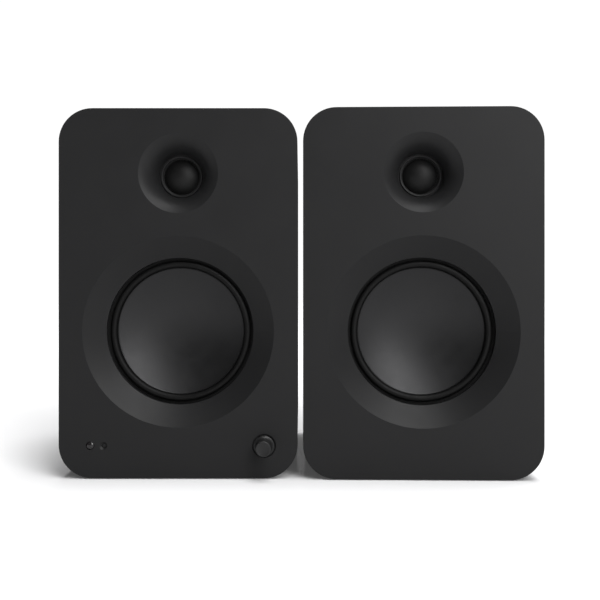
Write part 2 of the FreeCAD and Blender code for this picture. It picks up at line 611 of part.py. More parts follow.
def power_switch():
    """Frame of the rocker switch, with a well for the rocker and two holes for its stubs."""
    x, z = SWITCH_PLACE
    frame = slab(22.0, 15.6, 1.2, PLATE_FACE, PLATE_FACE + 1.8, x, z)
    frame = frame.makeFillet(0.6, edges_at(frame, PLATE_FACE + 1.8))
    frame = frame.fuse(block(19.0, 12.8, PLATE_FACE - 15, PLATE_FACE, x, z))
    well = block(16.4, 10.4, PLATE_FACE - 12, PLATE_FACE + 3, x, z)
    return cut_all(frame, [well, switch_stub(1.26, 12.0)])


def switch_stub(radius, length):
    """An upright pin through the rocker's pivot."""
    x, z = SWITCH_PLACE
    return Part.makeCylinder(radius, length, Vector(x, SWITCH_PIVOT, z - length / 2))


def power_rocker():
    """Rocker with a shallow V face, built level and then set to its off position."""
    x, z = SWITCH_PLACE
    half, height = 7.3, 9.8
    face = SWITCH_PIVOT + 4.6
    waist, end = face - 3.2, face - 8.0
    points = [(-half, face), (0, face - 0.7), (half, face), (half, waist), (4.0, end), (-4.0, end),
              (-half, waist), (-half, face)]
    wire = Part.makePolygon([Vector(x + px, py, z - height / 2) for px, py in points])
    rocker = Part.Face(wire).extrude(Vector(0, 0, height)).fuse(switch_stub(1.2, 11.8))
    rocker.rotate(Vector(x, SWITCH_PIVOT, z), Vector(0, 0, 1), -SWITCH_SWING / 2)
    return rocker


# ---- Spring clips for the speaker wire ------------------------------------------------------------
def clip_block(z):
    """Housing with a pocket for each of two levers, and a wire hole below each."""
    flange = PLATE_FACE + 2.0
    housing = slab(CLIP_WIDTH, CLIP_HEIGHT, 2.5, PLATE_FACE, flange, 0, z)
    housing = housing.makeFillet(0.7, edges_at(housing, flange))
    housing = housing.fuse(block(CLIP_WIDTH - 4, CLIP_HEIGHT - 4, 203.0, PLATE_FACE, 0, z))
    for x in (-LEVER_X, LEVER_X):
        housing = cut_all(housing, [block(14.4, 14.5, 206.0, flange + 1, x, z + 2.4),
                                    rod(WIRE_HOLE, 206.0, flange + 1, x, z - WIRE_DROP),
                                    lever_pin(0.96, 17.0, x, z)])
    return housing


def lever_pin(radius, length, x, z):
    """A pin along X through a lever's pivot."""
    start = Vector(x - length / 2, LEVER_PIVOT_Y, z - LEVER_DROP)
    return Part.makeCylinder(radius, length, start, Vector(1, 0, 0))


def clip_lever(x, z):
    """Lever that is pressed in at its top to open the clamp."""
    width = 13.2
    low = z - LEVER_DROP
    points = [(-1.6, -1.0), (1.6, -1.0), (2.2, 0.0), (3.0, 5.0), (5.2, 9.0), (5.2, 10.4), (1.4, 10.4),
              (-1.2, 6.0), (-1.6, 0.0), (-1.6, -1.0)]
    wire = Part.makePolygon([Vector(x - width / 2, LEVER_PIVOT_Y + py, low + pz) for py, pz in points])
    lever = Part.Face(wire).extrude(Vector(width, 0, 0))
    tip_edges = [e for e in lever.Edges if e.BoundBox.ZMin > low + 10 and e.BoundBox.XLength > 1]
    lever = lever.makeFillet(0.5, tip_edges)
    return lever.fuse(lever_pin(0.9, 16.6, x, z))


def terminal_opening():
    return slab(70.0, 42.0, 3.0, 0, DEPTH + 1, z=TERMINAL_Z)


def terminal_plate():
    """Plate over the passive cabinet's rear opening, which carries its spring clips."""
    plate = slab(TERMINAL_WIDTH, TERMINAL_HEIGHT, 5.0, BOARD_FACE, PLATE_FACE, z=TERMINAL_Z)
    plate = plate.makeChamfer(0.5, edges_at(plate, PLATE_FACE))
    front, back = BOARD_FACE - 1, PLATE_FACE + 1
    return cut_all(plate, [block(CLIP_WIDTH - 3.8, CLIP_HEIGHT - 3.8, front, back, 0, TERMINAL_Z),
                           *[rod(1.7, front, back, x, z) for x, z in TERMINAL_SCREWS]])


def crossover_board():
    """Small board behind the terminal plate: a coil, a capacitor and a resistor."""
    front, back = 195.0, 196.6
    z = TERMINAL_Z
    return group([block(66.0, 38.0, front, back, z=z),
                  *[tube(2.6, 1.2, back, BOARD_FACE, x, z) for x in (-30.0, 30.0)],
                  tube(13.0, 5.0, front - 14, front, -16.0, z), rod(7.5, front - 22, front, 14.0, z + 6),
                  block(24.0, 7.0, front - 7, front, 14.0, z - 12)])


# ---- The two cabinets -----------------------------------------------------------------------------
def common_nodes(opening, plate_screws, controls):
    """What both cabinets have."""
    return {"front_baffle": front_baffle(controls), "cabinet_sleeve": cabinet_sleeve(),
            "rear_board": rear_board(opening, plate_screws), "bass_port": bass_port(),
            "damping_pads": damping_pads(), "feet": feet(), "screws": screws(plate_screws),
            "tweeter_frame": tweeter_frame(), "tweeter_dome": tweeter_dome(),
            "tweeter_surround": tweeter_surround(), "tweeter_motor": tweeter_motor(),
            "woofer_basket": woofer_basket(), "woofer_surround": woofer_surround(),
            "woofer_cone": woofer_cone(), "voice_coil": voice_coil(), "woofer_spider": woofer_spider(),
            "woofer_magnet": woofer_magnet(), "pole_plates": pole_plates()}


def powered_nodes():
    """What only the left cabinet has."""
    return {"volume_knob": volume_knob(), "encoder_shaft": encoder_shaft(),
            "encoder_plunger": encoder_plunger(), "encoder_body": encoder_body(),
            "control_board": control_board(), "status_led": status_led(), "ir_window": ir_window(),
            "amplifier_plate": amplifier_plate(), "amplifier_board": amplifier_board(),
            "heat_sink": heat_sink(), "power_supply": power_supply(),
            "signal_sockets": signal_sockets(), "optical_socket": optical_socket(),
            "mains_inlet": mains_inlet(), "power_switch": power_switch(),
            "power_rocker": power_rocker()}


def clip_nodes(z):
    return {"clip_block": clip_block(z), "black_lever": clip_lever(-LEVER_X, z),
            "red_lever": clip_lever(LEVER_X, z)}


def placement(side):
    """Where a cabinet's own frame stands, before the origin is set."""
    if side == "left":
        return Placement(Vector(-PITCH / 2, 0, 0), Rotation())
    return Placement(Vector(PITCH / 2, -RIGHT_FORWARD, 0), Rotation(Vector(0, 0, 1), -TOE_IN))


def speaker_pair():
    """Every node in the row's frame, and the shift that puts the origin under the middle of the pair."""
    left = {**common_nodes(amplifier_opening(), AMPLIFIER_SCREWS, True), **clip_nodes(CLIP_Z)}
    right = {**common_nodes(terminal_opening(), TERMINAL_SCREWS, False), **clip_nodes(TERMINAL_Z)}
    nodes = {}
    for side, shapes in (("left", left), ("right", right)):
        for name, shape in shapes.items():
            nodes[f"{side}_{name}"] = shape.transformed(placement(side).toMatrix())
    only = [("left", powered_nodes()),
            ("right", {"terminal_plate": terminal_plate(), "crossover_board": crossover_board()})]
    for side, shapes in only:
        for name, shape in shapes.items():
            nodes[name] = shape.transformed(placement(side).toMatrix())
    box = Part.makeCompound(list(nodes.values())).optimalBoundingBox(False)
    shift = Vector(-box.Center.x, -box.Center.y, 0)
    return {name: shifted(shape, *shift) for name, shape in nodes.items()}, shift


def write_parts():
    os.makedirs("parts", exist_ok=True)
    nodes, shift = speaker_pair()
    for name, shape in nodes.items():
        if not shape.isValid():
            raise ValueError(f"{name} is not a valid shape")
        shape.exportStep(f"parts/{name}.step")
    print(f"{len(nodes)} nodes, origin shifted by {shift.x:.3f}, {shift.y:.3f}")


if __name__ == "__main__":
    write_parts()
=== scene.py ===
"""Looks for the pair of desktop speakers: materials, driver parts, soft parts, rear details and stage."""
import json
import math
import random
import bmesh
import bpy
import numpy as np
from mathutils import Matrix, Vector, noise


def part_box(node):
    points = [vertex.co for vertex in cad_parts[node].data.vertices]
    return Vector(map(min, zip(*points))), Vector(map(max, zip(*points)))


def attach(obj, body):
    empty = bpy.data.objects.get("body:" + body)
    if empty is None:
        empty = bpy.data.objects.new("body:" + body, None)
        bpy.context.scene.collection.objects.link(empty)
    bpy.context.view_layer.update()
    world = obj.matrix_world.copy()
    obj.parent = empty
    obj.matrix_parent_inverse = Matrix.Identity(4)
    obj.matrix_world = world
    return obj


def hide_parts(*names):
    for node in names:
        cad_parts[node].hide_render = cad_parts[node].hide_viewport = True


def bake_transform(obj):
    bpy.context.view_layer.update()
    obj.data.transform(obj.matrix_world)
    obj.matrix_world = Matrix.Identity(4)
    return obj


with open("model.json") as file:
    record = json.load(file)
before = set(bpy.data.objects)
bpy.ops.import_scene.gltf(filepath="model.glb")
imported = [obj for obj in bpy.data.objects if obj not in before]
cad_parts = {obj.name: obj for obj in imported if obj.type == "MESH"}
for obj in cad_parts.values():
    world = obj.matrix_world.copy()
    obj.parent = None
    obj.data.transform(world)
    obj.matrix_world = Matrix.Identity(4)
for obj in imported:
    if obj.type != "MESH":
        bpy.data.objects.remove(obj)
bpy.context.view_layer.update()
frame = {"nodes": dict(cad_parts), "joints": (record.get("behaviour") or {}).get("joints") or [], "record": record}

MM = 0.001
SEGMENTS = 192           # round a turned piece that is seen
HIDDEN_SEGMENTS = 96     # round a turned piece inside a cabinet
SIDES = ("left", "right")


# ---- Places, worked out from the frame ----------------------------------------------------------
def joint_facts(name):
    return next(joint for joint in frame["joints"] if joint["name"] == name)


def cabinet_frame(side):
    """The cabinet's own frame: origin under the middle of its front face, +Y into the cabinet."""
    axis = joint_facts(f"{side}_woofer_travel")["axis"]
    turn = Matrix.Rotation(math.atan2(axis[0], -axis[1]), 4, "Z")
    low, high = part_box(f"{side}_front_baffle")
    middle = Vector(((low.x + high.x) / 2, (low.y + high.y) / 2, 0.0))
    depths = [(turn.inverted() @ v.co).y for v in frame["nodes"][f"{side}_front_baffle"].data.vertices]
    return Matrix.Translation(middle) @ turn @ Matrix.Translation((0, -(max(depths) - min(depths)) / 2, 0))


FRAMES = {side: cabinet_frame(side) for side in SIDES}


def on_axis(side, x, z, depth=0.0):
    """A place in the cabinet's frame, as a matrix."""
    return FRAMES[side] @ Matrix.Translation((x, depth, z))


def local_points(side, node):
    """A CAD node's vertices in its cabinet's own frame."""
    vertices = frame["nodes"][node].data.vertices
    flat = np.empty(len(vertices) * 3)
    vertices.foreach_get("co", flat)
    back = np.array(FRAMES[side].inverted())
    return flat.reshape(-1, 3) @ back[:3, :3].T + back[:3, 3]


class LocalBox:
    """The box round some points in a cabinet's own frame: its middle, its radius and its depths."""
    def __init__(self, points):
        self.low, self.high = Vector(points.min(0)), Vector(points.max(0))
        self.x, _, self.z = (self.low + self.high) / 2
        self.radius = (self.high.z - self.low.z) / 2
        self.front, self.back = self.low.y, self.high.y


def local_box(side, node):
    return LocalBox(local_points(side, node))


def bore_mouth(name, side):
    """Where a bore named in the record's mounts opens outwards, in the cabinet's own frame."""
    mount = next(m for m in frame["record"]["mounts"] if m["name"] == name)
    outer = Vector(mount["pos_m"]) + Vector(mount["axis"]) * mount["dims"]["length_mm"] / 2 * MM
    return FRAMES[side].inverted() @ outer


# ---- Mesh helpers -------------------------------------------------------------------------------
def arc(start, middle, end, count):
    """Points along the circle through three (radius, depth) points, without the first one."""
    (ax, ay), (bx, by), (cx, cy) = start, middle, end
    d = 2 * (ax * (by - cy) + bx * (cy - ay) + cx * (ay - by))
    a2, b2, c2 = ax * ax + ay * ay, bx * bx + by * by, cx * cx + cy * cy
    ox = (a2 * (by - cy) + b2 * (cy - ay) + c2 * (ay - by)) / d
    oy = (a2 * (cx - bx) + b2 * (ax - cx) + c2 * (bx - ax)) / d
    radius = math.hypot(ax - ox, ay - oy)
    first, mid, last = (math.atan2(y - oy, x - ox) for x, y in (start, middle, end))
    sweep = (last - first) % (2 * math.pi)
    if (mid - first) % (2 * math.pi) > sweep:
        sweep -= 2 * math.pi
    angles = [first + sweep * k / count for k in range(1, count + 1)]
    return [(ox + radius * math.cos(a), oy + radius * math.sin(a)) for a in angles]


def finish_piece(made, place, body, slot):
    """Puts a new object in its place on its body, with its slot's material. A piece may be given no body."""
    bpy.context.scene.collection.objects.link(made)
    made.matrix_world = place
    made.data.materials.append(MATERIALS[slot])
    if body:
        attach(made, body)
    return made


def piece(name, vertices, faces, place, body, slot, smooth=30.0):
    """A mesh object that rides on a body. Edges sharper than smooth degrees stay crisp."""
    mesh = bpy.data.meshes.new(name)
    mesh.from_pydata([tuple(v) for v in vertices], [], faces)
    mesh.validate()
    shape = bmesh.new()
    shape.from_mesh(mesh)
    bmesh.ops.recalc_face_normals(shape, faces=shape.faces)
    shape.to_mesh(mesh)
    shape.free()
    mesh.shade_smooth()
    mesh.set_sharp_from_angle(angle=math.radians(smooth))
    return finish_piece(bpy.data.objects.new(name, mesh), place, body, slot)


def turned(name, profile, place, body, slot, segments=SEGMENTS):
    """The closed (radius, depth) profile, in metres, turned about the place's Y axis."""
    angles = [2 * math.pi * k / segments for k in range(segments)]
    vertices = [(r * math.cos(a), depth, r * math.sin(a)) for r, depth in profile for a in angles]
    faces = []
    for ring in range(len(profile)):
        first, second = ring * segments, (ring + 1) % len(profile) * segments
        for k in range(segments):
            n = (k + 1) % segments
            faces.append((first + k, second + k, second + n, first + n))
    return piece(name, vertices, faces, place, body, slot)


def radial_blend(made):
    """Bakes the piece's place into its mesh; the piece rides on no body.
    """
    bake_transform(made)


def rounded_outline(half_width, half_height, corner, steps=8):
    """Points round a rectangle with rounded corners, as (x, z)."""
    points = []
    for quarter, (sx, sz) in enumerate(((1, 1), (-1, 1), (-1, -1), (1, -1))):
        for k in range(steps + 1):
            a = math.pi / 2 * (quarter + k / steps)
            points.append((sx * (half_width - corner) + corner * math.cos(a),
                           sz * (half_height - corner) + corner * math.sin(a)))
    return points


def ring_solid(outer, inner, low, high):
    """Vertices and faces of a closed frame between two matching outlines, from depth low to depth high."""
    levels = ((outer, low), (outer, high), (inner, high), (inner, low))
    loops = [[(x, depth, z) for x, z in line] for line, depth in levels]
    count = len(outer)
    faces = []
    for loop in range(4):
        first, second = loop * count, (loop + 1) % 4 * count
        faces += [(first + k, first + (k + 1) % count, second + (k + 1) % count, second + k)
                  for k in range(count)]
    return [point for loop in loops for point in loop], faces


def soft_box(width, depth, height, bevel):
    """Vertices and faces of a small box centred on the origin in X and Z, with bevelled front edges."""
    outline = rounded_outline(width / 2, height / 2, bevel, 2)
    inset = rounded_outline(width / 2 - bevel, height / 2 - bevel, bevel / 2, 2)
    loops = [(outline, 0.0), (outline, depth - bevel), (inset, depth)]
    vertices = [(x, y, z) for line, y in loops for x, z in line]
    count = len(outline)
    faces = [(loop * count + k, loop * count + (k + 1) % count, (loop + 1) * count + (k + 1) % count,
              (loop + 1) * count + k) for loop in range(2) for k in range(count)]
    return vertices, faces + [tuple(range(count))[::-1], tuple(range(2 * count, 3 * count))]


def joined(solids):
    """One list of vertices and one of faces from several, each with the place that it is moved to."""
    vertices, faces = [], []
    for (points, polygons), place in solids:
        start = len(vertices)
        vertices += [place @ Vector(point) for point in points]
        faces += [tuple(index + start for index in polygon) for polygon in polygons]
    return vertices, faces


def wire_loop(name, points, thickness, place, body, slot):
    """A closed loop of round wire along a smooth curve."""
    curve = bpy.data.curves.new(name, "CURVE")
    curve.dimensions, curve.bevel_depth, curve.bevel_resolution = "3D", thickness / 2, 3
    spline = curve.splines.new("NURBS")
    spline.points.add(len(points) - 1)
    for target, point in zip(spline.points, points):
        target.co = (*point, 1.0)
    spline.order_u, spline.resolution_u = 4, 3
    spline.use_cyclic_u = True
    return finish_piece(bpy.data.objects.new(name, curve), place, body, slot)


# ---- Materials ----------------------------------------------------------------------------------
class Shader:
    """A Principled material whose patterns follow the object's own coordinates, in metres."""
    def __init__(self, name, colour, roughness, metallic=0.0, **sockets):
        self.material = bpy.data.materials.new(name)
        self.material.use_nodes = True
        self.tree = self.material.node_tree
        self.bsdf = self.tree.nodes["Principled BSDF"]
        self.set("Base Color", (*colour, 1.0))
        self.set("Roughness", roughness)
        self.set("Metallic", metallic)
        for socket, value in sockets.items():
            self.set(socket.replace("_", " "), value)
        self.colour, self.roughness = colour, roughness
        self.place = self.node("ShaderNodeTexCoord").outputs["Object"]
        self.height = None

    def set(self, socket, value):
        self.bsdf.inputs[socket].default_value = value

    def node(self, kind, **values):
        made = self.tree.nodes.new(kind)
        for key, value in values.items():
            if key in made.inputs:
                made.inputs[key].default_value = value
            else:
                setattr(made, key, value)
        return made

    def link(self, source, target):
        self.tree.links.new(source, target)

    def noise(self, size, detail, stretch=(1, 1, 1)):
        """Noise with features about that size, in metres, longer along an axis whose stretch is over 1."""
        scale = self.node("ShaderNodeMapping")
        scale.inputs["Scale"].default_value = [1 / s for s in stretch]
        self.link(self.place, scale.inputs["Vector"])
        made = self.node("ShaderNodeTexNoise")
        made.inputs["Scale"].default_value = 1 / size
        made.inputs["Detail"].default_value = detail
        self.link(scale.outputs["Vector"], made.inputs["Vector"])
        return made.outputs["Fac"]

    def spread(self, source, low, high, near=0.3, far=0.7):
        """The source, from near to far, mapped to low to high."""
        made = self.node("ShaderNodeMapRange")
        for key, value in (("From Min", near), ("From Max", far), ("To Min", low), ("To Max", high)):
            made.inputs[key].default_value = value
        self.link(source, made.inputs["Value"])
        return made.outputs["Result"]

    def vary_colour(self, source, amount, second=None):
        """Two shades: the colour darker by amount, and either lighter by amount or a second colour."""
        ramp = self.node("ShaderNodeValToRGB")
        low, high = ramp.color_ramp.elements
        low.position, high.position = 0.3, 0.7
        low.color = (*[c * (1 - amount) for c in self.colour], 1)
        high.color = (*(second or [min(1, c * (1 + amount)) for c in self.colour]), 1)
        self.link(source, ramp.inputs["Fac"])
        self.link(ramp.outputs["Color"], self.bsdf.inputs["Base Color"])
        return self

    def vary_roughness(self, source, amount):
        low, high = self.roughness - amount, min(1, self.roughness + amount)
        self.link(self.spread(source, low, high), self.bsdf.inputs["Roughness"])
        return self

    def bump(self, source, depth, strength):
        """Adds relief, depth in metres."""
        made = self.node("ShaderNodeBump", Strength=strength, Distance=depth)
        self.link(source, made.inputs["Height"])
        if self.height is not None:
            self.link(self.height, made.inputs["Normal"])
        self.height = made.outputs["Normal"]
        self.link(self.height, self.bsdf.inputs["Normal"])
        return self

    def wave(self, pitch, direction, kind="BANDS", distortion=0.0):
        """Bands or rings, one every pitch metres."""
        made = self.node("ShaderNodeTexWave", wave_type=kind)
        setattr(made, "bands_direction" if kind == "BANDS" else "rings_direction", direction)
        made.inputs["Scale"].default_value = 0.314 / pitch
        made.inputs["Distortion"].default_value = distortion
        self.link(self.place, made.inputs["Vector"])
        return made.outputs["Fac"]

    def math(self, operation, a, b):
        made = self.node("ShaderNodeMath", operation=operation)
        for value, socket in ((a, made.inputs[0]), (b, made.inputs[1])):
            if isinstance(value, float):
                socket.default_value = value
            else:
                self.link(value, socket)
        return made.outputs[0]


def lacquer(name, colour):
    """Sprayed satin lacquer: fine orange peel and a little cloudiness in the gloss."""
    s = Shader(name, colour, 0.46, Specular_IOR_Level=0.14)
    s.vary_colour(s.noise(0.06, 4), 0.05).vary_roughness(s.noise(0.02, 5), 0.03)
    return s.bump(s.noise(0.0011, 2), 0.00002, 0.35).material


def vinyl(name, colour):
    """Satin wrap with a fine pressed grain."""
    s = Shader(name, colour, 0.6, Specular_IOR_Level=0.22)
    s.vary_colour(s.noise(0.05, 5), 0.06).vary_roughness(s.noise(0.004, 6), 0.05)
    return s.bump(s.noise(0.0007, 3), 0.00005, 0.4).material


def plastic(name, colour, roughness, grain=0.0006, depth=0.00004, variation=0.08, **sockets):
    """Moulded plastic with a spark-eroded grain."""
    s = Shader(name, colour, roughness, **sockets)
    s.vary_colour(s.noise(0.012, 4), variation).vary_roughness(s.noise(0.006, 5), 0.04)
    return s.bump(s.noise(grain, 3), depth, 0.5).material


def rubber(name, colour, roughness):
    """Soft matt rubber with a very fine grain."""
    s = Shader(name, colour, roughness, Specular_IOR_Level=0.13)
    s.vary_colour(s.noise(0.01, 5), 0.12).vary_roughness(s.noise(0.003, 5), 0.06)
    return s.bump(s.noise(0.0004, 3), 0.00003, 0.5).material


def metal(name, colour, roughness, stretch=(1, 1, 1), size=0.0006, depth=0.00001, variation=0.12):
    """Bare or plated metal. A stretch draws the grain out into brush lines."""
    s = Shader(name, colour, roughness, 1.0)
    s.vary_colour(s.noise(0.015, 5), variation).vary_roughness(s.noise(size, 3, stretch), 0.08)
    return s.bump(s.noise(size, 3, stretch), depth, 0.5).material


def spun_metal(name, colour, roughness):
    """Dark anodised metal with faint lathe rings about the object's own axis."""
    s = Shader(name, colour, roughness, 0.85)
    s.vary_colour(s.noise(0.03, 4), 0.06).vary_roughness(s.noise(0.008, 5), 0.03)
    s.bump(s.wave(0.0005, "Y", "RINGS", 0.4), 0.000004, 0.25)
    return s.bump(s.noise(0.0005, 2), 0.00001, 0.3).material


def weave(name, colour, pitch, depth, roughness=0.85, second=None, **sockets):
    """Plain weave of two crossing threads."""
    s = Shader(name, colour, roughness, **sockets)
    threads = s.math("MAXIMUM", s.wave(pitch, "X", distortion=0.3), s.wave(pitch, "Z", distortion=0.3))
    s.vary_colour(s.math("MULTIPLY", threads, s.noise(0.004, 4)), 0.3, second)
    return s.bump(threads, depth, 0.7).material


def circuit(name, mask, copper):
    """Solder mask over copper tracks and pours."""
    s = Shader(name, mask, 0.32, Coat_Weight=0.3)
    blocks = s.node("ShaderNodeTexVoronoi", distance="CHEBYCHEV", feature="F1")
    blocks.inputs["Scale"].default_value = 260
    s.link(s.place, blocks.inputs["Vector"])
    s.vary_colour(s.spread(blocks.outputs["Distance"], 0.25, 0.75, 0.25, 0.45), 0.2, copper)
    return s.bump(blocks.outputs["Distance"], 0.00004, 0.4).material


def winding(name, colour, pitch):
    """Enamelled wire wound in turns along Y."""
    s = Shader(name, colour, 0.3, 1.0, Coat_Weight=0.6)
    s.vary_colour(s.noise(0.004, 4), 0.15)
    return s.bump(s.wave(pitch, "Y"), 0.00012, 0.9).material


def clear(name, colour, roughness, transmission):
    """Tinted clear plastic."""
    s = Shader(name, colour, roughness, Transmission_Weight=transmission, IOR=1.49, Specular_IOR_Level=0.35)
    s.vary_colour(s.noise(0.002, 3), 0.1).vary_roughness(s.noise(0.001, 4), min(0.02, roughness / 2))
    return s.bump(s.noise(0.0008, 3), 0.00001, 0.2).material


MATERIALS = {
    "black_lacquer": lacquer("black_lacquer", (0.0098, 0.0098, 0.0101)),
    "black_vinyl": vinyl("black_vinyl", (0.0125, 0.0125, 0.0130)),
    "raw_board": vinyl("painted_board", (0.016, 0.016, 0.0165)),
    "black_plastic": plastic("black_plastic", (0.014, 0.014, 0.0145), 0.5),
    "gloss_black": plastic("gloss_black", (0.008, 0.008, 0.0085), 0.16, depth=0.00001),
    "knob_black": plastic("knob_black", (0.009, 0.009, 0.0093), 0.44, depth=0.00001,
                          Specular_IOR_Level=0.25),
    "light_pipe": plastic("light_pipe", (0.0085, 0.0085, 0.0088), 0.6, depth=0.00001,
                          Specular_IOR_Level=0.12),
    "dark_lens": clear("dark_lens", (0.012, 0.011, 0.0115), 0.16, 0.2),
    "cone_metal": spun_metal("cone_metal", (0.021, 0.021, 0.0216), 0.45),
    "surround_rubber": rubber("surround_rubber", (0.0014, 0.0014, 0.0014), 0.56),
    "foot_rubber": rubber("foot_rubber", (0.01, 0.01, 0.01), 0.8),
    "cast_frame": plastic("cast_frame", (0.02, 0.02, 0.021), 0.6, grain=0.001, depth=0.0001),
    "ferrite": plastic("ferrite", (0.03, 0.03, 0.033), 0.55, grain=0.0008, depth=0.00006),
    "plated_steel": metal("plated_steel", (0.62, 0.60, 0.52), 0.35),
    "black_steel": metal("black_steel", (0.05, 0.05, 0.052), 0.4),
    "copper_coil": winding("copper_coil", (0.75, 0.28, 0.12), 0.0003),
    "spider_cloth": weave("spider_cloth", (0.50, 0.33, 0.13), 0.0008, 0.00012, second=(0.66, 0.47, 0.22)),
    "dome_cloth": weave("dome_cloth", (0.005, 0.005, 0.005), 0.00035, 0.00002, 0.5,
                        second=(0.006, 0.006, 0.006), Specular_IOR_Level=0.15),
    "wadding": weave("wadding", (0.62, 0.62, 0.60), 0.004, 0.0008, 0.95,
                     second=(0.85, 0.85, 0.83), Sheen_Weight=0.4),
    "ring_plastic": plastic("ring_plastic", (0.009, 0.009, 0.0094), 0.45, Specular_IOR_Level=0.18),
    "plate_aluminium": metal("plate_aluminium", (0.05, 0.05, 0.052), 0.42, stretch=(40, 1, 1), size=0.0004),
    "circuit_board": circuit("circuit_board", (0.012, 0.10, 0.045), (0.03, 0.22, 0.09)),
    "heat_sink_metal": metal("heat_sink_metal", (0.06, 0.06, 0.062), 0.45, stretch=(1, 1, 30), size=0.0004),
    "socket_metal": metal("socket_metal", (0.62, 0.61, 0.58), 0.28, size=0.003, depth=0.000003,
                          variation=0.06),
    "lever_red": plastic("lever_red", (0.42, 0.012, 0.012), 0.4),
    "lever_black": plastic("lever_black", (0.014, 0.014, 0.0145), 0.4),
    "socket_white": plastic("socket_white", (0.72, 0.71, 0.68), 0.35, depth=0.00001),
    "socket_red": plastic("socket_red", (0.48, 0.012, 0.014), 0.35, depth=0.00001),
    "socket_violet": plastic("socket_violet", (0.10, 0.03, 0.22), 0.35, depth=0.00001),
    "printed_ink": plastic("printed_ink", (0.55, 0.55, 0.54), 0.6, grain=0.0003, depth=0.00001),
    "chip_parts": plastic("chip_parts", (0.22, 0.15, 0.09), 0.45, grain=0.0004, depth=0.00001,
                          variation=0.6),
}

SLOT_OF = {entry["node"]: entry["material_slot"] for entry in frame["record"]["subparts"]}
for node, thing in frame["nodes"].items():
    thing.data.materials.clear()
    thing.data.materials.append(MATERIALS[SLOT_OF[node]])


# ---- Drivers ------------------------------------------------------------------------------------
def woofer_cone_shell(side):
    """Dished metal cone with a rolled rim and a short skirt behind it."""
    node = f"{side}_woofer_cone"
    box = local_box(side, node)
    thick, roll, skirt, wall = 0.7 * MM, 0.35 * MM, 2.4 * MM, 0.8 * MM
    depth = box.back - box.front - thick
    sphere = (box.radius ** 2 + depth ** 2) / (2 * depth)
    centre = box.back - thick - sphere

    def dish(radius, count, outermost):
        half = math.asin(outermost / radius)
        return [(radius * math.sin(half * k / count), centre + radius * math.cos(half * k / count))
                for k in range(count + 1)]

    inside = dish(sphere, 64, box.radius - roll)
    outside = dish(sphere + thick, 24, box.radius - wall)
    rim_top = (box.radius - 0.1 * MM, box.front + 0.09 * MM)
    rim = arc(inside[-1], rim_top, (box.radius, box.front + roll), 6)
    edge = [(box.radius, box.front + skirt), (box.radius - wall, box.front + skirt)]
    cone = turned(f"{side}_cone_shell", inside + rim + edge + outside[::-1], on_axis(side, box.x, box.z),
                  f"{side}_woofer", "cone_metal")
    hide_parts(node)


def woofer_roll(side):
    """Rubber half-roll from the frame's landing to the cone, beaded at its lip and grooved at the cone."""
    node = f"{side}_woofer_surround"
    box, cone = local_box(side, node), local_box(side, f"{side}_woofer_cone")
    flat = local_box(side, f"{side}_woofer_basket").front + 0.3 * MM
    thick, half, skirt, drop = 0.7 * MM, 2.4 * MM, 2.3 * MM, 0.3 * MM
    crest, inner = cone.radius + 2.7 * MM, cone.radius + 0.06 * MM
    start, end, back = crest + half, crest - half, flat + thick
    bead_near, bead_far, bead_rise = 0.4 * MM, 1.1 * MM, 0.28 * MM
    bead_top = (start + (bead_near + bead_far) / 2, flat - bead_rise)
    groove_middle, groove_end = (end - 0.12 * MM, flat + 0.42 * MM), (inner, flat + 0.75 * MM)
    hem = [(inner, flat + skirt), (end + thick, flat + 1.7 * MM)]
    front_line = [(box.radius, back), (box.radius, flat), (start + bead_far, flat)]
    front_line += arc(front_line[-1], bead_top, (start + bead_near, flat), 6)
    front_line += arc((start, flat), (crest, box.front), (end, flat + drop), 36)
    lip = arc(front_line[-1], groove_middle, groove_end, 5) + hem
    back_line = arc(lip[-1], (crest, box.front + thick), (start - thick, back), 28)
    roll = turned(f"{side}_surround_roll", front_line + lip + back_line, on_axis(side, box.x, box.z), None,
                  "surround_rubber")
    radial_blend(roll)
    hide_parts(node)


def woofer_spider_cloth(side):
    """Corrugated centring disc between the coil's former and the frame's ledge."""
    node = f"{side}_woofer_spider"
    box, coil = local_box(side, node), local_box(side, f"{side}_voice_coil")
    thick, swing, waves, steps_per_wave = 0.5 * MM, 1.15 * MM, 6, 14
    inner, first, last = coil.radius - 0.39 * MM, coil.radius + 1.2 * MM, box.radius - 4.5 * MM
    flat = box.front + 1.3 * MM

    def line(depth):
        count = waves * steps_per_wave
        shares = [k / count for k in range(count + 1)]
        return [(first + (last - first) * t, depth + swing * math.sin(2 * math.pi * waves * t))
                for t in shares]

    profile = [(inner, flat), *line(flat), (box.radius, flat), (box.radius, flat + thick)]
    profile += [*line(flat + thick)[::-1], (inner, flat + thick)]
    cloth = turned(f"{side}_spider_cloth", profile, on_axis(side, box.x, box.z), None, "spider_cloth",
                   segments=128)
    radial_blend(cloth)
    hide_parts(node)


def winding_profile(inner, core, outer, ends, wound, pitch):
    """Outline of a former between its ends whose wire, one bead for each turn, fills the wound length."""
    (front, back), (first, last) = ends, wound
    count, bead_steps = round((last - first) / pitch), 6
    beads = []
    for turn in range(count):
        middle = first + (turn + 0.5) * (last - first) / count
        reach = (last - first) / count / 2
        beads += [(outer - reach + reach * math.sin(a), middle - reach * math.cos(a))
                  for a in (math.pi * k / bead_steps for k in range(1, bead_steps))]
    return [(inner, front), (core, front), (core, first), *beads, (core, last), (core, back), (inner, back)]


